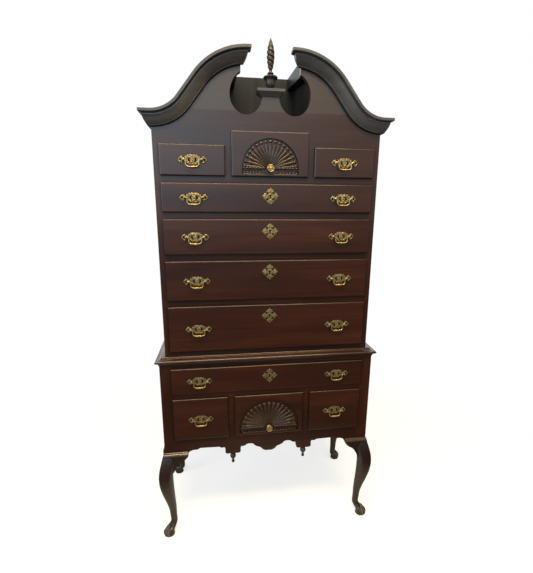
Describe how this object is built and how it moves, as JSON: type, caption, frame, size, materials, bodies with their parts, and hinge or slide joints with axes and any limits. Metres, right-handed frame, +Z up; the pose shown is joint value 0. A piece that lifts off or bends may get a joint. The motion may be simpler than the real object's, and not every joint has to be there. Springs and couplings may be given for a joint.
{
  "type": "highboy chest of drawers",
  "caption": "Bonnet-top highboy on cabriole legs: an upper chest with scrolled pediment over a lower case, with sliding drawers and swinging bail handles.",
  "frame": {"origin": "on the floor under the middle of the case", "axes": "+Z up, -Y is the front, +X to the right seen from the front"},
  "size_m": [0.998, 0.468, 2.109],
  "materials": {
    "mahogany": "satin, dark red-brown polish",
    "secondary_wood": "matte, unpolished",
    "brass": "aged, polished on the raised parts"
  },
  "bodies": {
    "case": {"leg_back_right": "mahogany", "leg_back_left": "mahogany", "leg_front_left": "mahogany", "leg_front_right": "mahogany", "lower_frame": "mahogany", "lower_sides": "mahogany", "lower_back": "secondary_wood", "lower_dust_boards": "secondary_wood", "apron_pendants": "mahogany", "waist_moulding": "mahogany", "upper_frame": "mahogany", "upper_side_left": "mahogany", "upper_side_right": "mahogany", "upper_back": "secondary_wood", "upper_dust_boards": "secondary_wood", "pediment_board": "mahogany", "scroll_moulding_right": "mahogany", "scroll_moulding_left": "mahogany", "bonnet_roof": "mahogany", "bonnet_well": "secondary_wood", "plinth_cap": "mahogany", "finial": "mahogany"},
    "drawer_long_1_body": {"drawer_long_1": "mahogany", "brass_long_1": "brass"},
    "bail_long_1_left_body": {"bail_long_1_left": "brass"},
    "bail_long_1_right_body": {"bail_long_1_right": "brass"},
    "drawer_long_2_body": {"drawer_long_2": "mahogany", "brass_long_2": "brass"},
    "bail_long_2_left_body": {"bail_long_2_left": "brass"},
    "bail_long_2_right_body": {"bail_long_2_right": "brass"},
    "drawer_long_3_body": {"drawer_long_3": "mahogany", "brass_long_3": "brass"},
    "bail_long_3_left_body": {"bail_long_3_left": "brass"},
    "bail_long_3_right_body": {"bail_long_3_right": "brass"},
    "drawer_long_4_body": {"drawer_long_4": "mahogany", "brass_long_4": "brass"},
    "bail_long_4_left_body": {"bail_long_4_left": "brass"},
    "bail_long_4_right_body": {"bail_long_4_right": "brass"},
    "drawer_top_left_body": {"drawer_top_left": "mahogany", "brass_top_left": "brass"},
    "bail_top_left_body": {"bail_top_left": "brass"},
    "drawer_top_right_body": {"drawer_top_right": "mahogany", "brass_top_right": "brass"},
    "bail_top_right_body": {"bail_top_right": "brass"},
    "drawer_top_shell_body": {"drawer_top_shell_front": "mahogany", "drawer_top_shell_box": "secondary_wood", "knob_top_shell": "brass"},
    "drawer_lower_long_body": {"drawer_lower_long": "mahogany", "brass_lower_long": "brass"},
    "bail_lower_long_left_body": {"bail_lower_long_left": "brass"},
    "bail_lower_long_right_body": {"bail_lower_long_right": "brass"},
    "drawer_lower_left_body": {"drawer_lower_left": "mahogany", "brass_lower_left": "brass"},
    "bail_lower_left_body": {"bail_lower_left": "brass"},
    "drawer_lower_right_body": {"drawer_lower_right": "mahogany", "brass_lower_right": "brass"},
    "bail_lower_right_body": {"bail_lower_right": "brass"},
    "drawer_lower_shell_body": {"drawer_lower_shell_front": "mahogany", "drawer_lower_shell_box": "secondary_wood", "knob_lower_shell": "brass"}
  },
  "joints": [
    {"name": "slide_long_1", "type": "slide", "parent": "case", "child": "drawer_long_1_body", "axis": [0, -1, 0], "range_m": [0, 0.3]},
    {"name": "swing_long_1_left", "type": "hinge", "parent": "drawer_long_1_body", "child": "bail_long_1_left_body", "pos_m": [-0.298, -0.208, 1.5385], "axis": [-1, 0, 0], "range_deg": [0, 85]},
    {"name": "swing_long_1_right", "type": "hinge", "parent": "drawer_long_1_body", "child": "bail_long_1_right_body", "pos_m": [0.298, -0.208, 1.5385], "axis": [-1, 0, 0], "range_deg": [0, 85]},
    {"name": "slide_long_2", "type": "slide", "parent": "case", "child": "drawer_long_2_body", "axis": [0, -1, 0], "range_m": [0, 0.3]},
    {"name": "swing_long_2_left", "type": "hinge", "parent": "drawer_long_2_body", "child": "bail_long_2_left_body", "pos_m": [-0.298, -0.208, 1.387], "axis": [-1, 0, 0], "range_deg": [0, 85]},
    {"name": "swing_long_2_right", "type": "hinge", "parent": "drawer_long_2_body", "child": "bail_long_2_right_body", "pos_m": [0.298, -0.208, 1.387], "axis": [-1, 0, 0], "range_deg": [0, 85]},
    {"name": "slide_long_3", "type": "slide", "parent": "case", "child": "drawer_long_3_body", "axis": [0, -1, 0], "range_m": [0, 0.3]},
    {"name": "swing_long_3_left", "type": "hinge", "parent": "drawer_long_3_body", "child": "bail_long_3_left_body", "pos_m": [-0.298, -0.208, 1.2095], "axis": [-1, 0, 0], "range_deg": [0, 85]},
    {"name": "swing_long_3_right", "type": "hinge", "parent": "drawer_long_3_body", "child": "bail_long_3_right_body", "pos_m": [0.298, -0.208, 1.2095], "axis": [-1, 0, 0], "range_deg": [0, 85]},
    {"name": "slide_long_4", "type": "slide", "parent": "case", "child": "drawer_long_4_body", "axis": [0, -1, 0], "range_m": [0, 0.3]},
    {"name": "swing_long_4_left", "type": "hinge", "parent": "drawer_long_4_body", "child": "bail_long_4_left_body", "pos_m": [-0.298, -0.208, 1.0045], "axis": [-1, 0, 0], "range_deg": [0, 85]},
    {"name": "swing_long_4_right", "type": "hinge", "parent": "drawer_long_4_body", "child": "bail_long_4_right_body", "pos_m": [0.298, -0.208, 1.0045], "axis": [-1, 0, 0], "range_deg": [0, 85]},
    {"name": "slide_top_left", "type": "slide", "parent": "case", "child": "drawer_top_left_body", "axis": [0, -1, 0], "range_m": [0, 0.3]},
    {"name": "swing_top_left", "type": "hinge", "parent": "drawer_top_left_body", "child": "bail_top_left_body", "pos_m": [-0.298, -0.208, 1.6765], "axis": [-1, 0, 0], "range_deg": [0, 85]},
    {"name": "slide_top_right", "type": "slide", "parent": "case", "child": "drawer_top_right_body", "axis": [0, -1, 0], "range_m": [0, 0.3]},
    {"name": "swing_top_right", "type": "hinge", "parent": "drawer_top_right_body", "child": "bail_top_right_body", "pos_m": [0.298, -0.208, 1.6765], "axis": [-1, 0, 0], "range_deg": [0, 85]},
    {"name": "slide_top_shell", "type": "slide", "parent": "case", "child": "drawer_top_shell_body", "axis": [0, -1, 0], "range_m": [0, 0.3]},
    {"name": "slide_lower_long", "type": "slide", "parent": "case", "child": "drawer_lower_long_body", "axis": [0, -1, 0], "range_m": [0, 0.3]},
    {"name": "swing_lower_long_left", "type": "hinge", "parent": "drawer_lower_long_body", "child": "bail_lower_long_left_body", "pos_m": [-0.3025, -0.223, 0.776], "axis": [-1, 0, 0], "range_deg": [0, 85]},
    {"name": "swing_lower_long_right", "type": "hinge", "parent": "drawer_lower_long_body", "child": "bail_lower_long_right_body", "pos_m": [0.3025, -0.223, 0.776], "axis": [-1, 0, 0], "range_deg": [0, 85]},
    {"name": "slide_lower_left", "type": "slide", "parent": "case", "child": "drawer_lower_left_body", "axis": [0, -1, 0], "range_m": [0, 0.3]},
    {"name": "swing_lower_left", "type": "hinge", "parent": "drawer_lower_left_body", "child": "bail_lower_left_body", "pos_m": [-0.3025, -0.223, 0.594], "axis": [-1, 0, 0], "range_deg": [0, 85]},
    {"name": "slide_lower_right", "type": "slide", "parent": "case", "child": "drawer_lower_right_body", "axis": [0, -1, 0], "range_m": [0, 0.3]},
    {"name": "swing_lower_right", "type": "hinge", "parent": "drawer_lower_right_body", "child": "bail_lower_right_body", "pos_m": [0.3025, -0.223, 0.594], "axis": [-1, 0, 0], "range_deg": [0, 85]},
    {"name": "slide_lower_shell", "type": "slide", "parent": "case", "child": "drawer_lower_shell_body", "axis": [0, -1, 0], "range_m": [0, 0.3]}
  ]
}
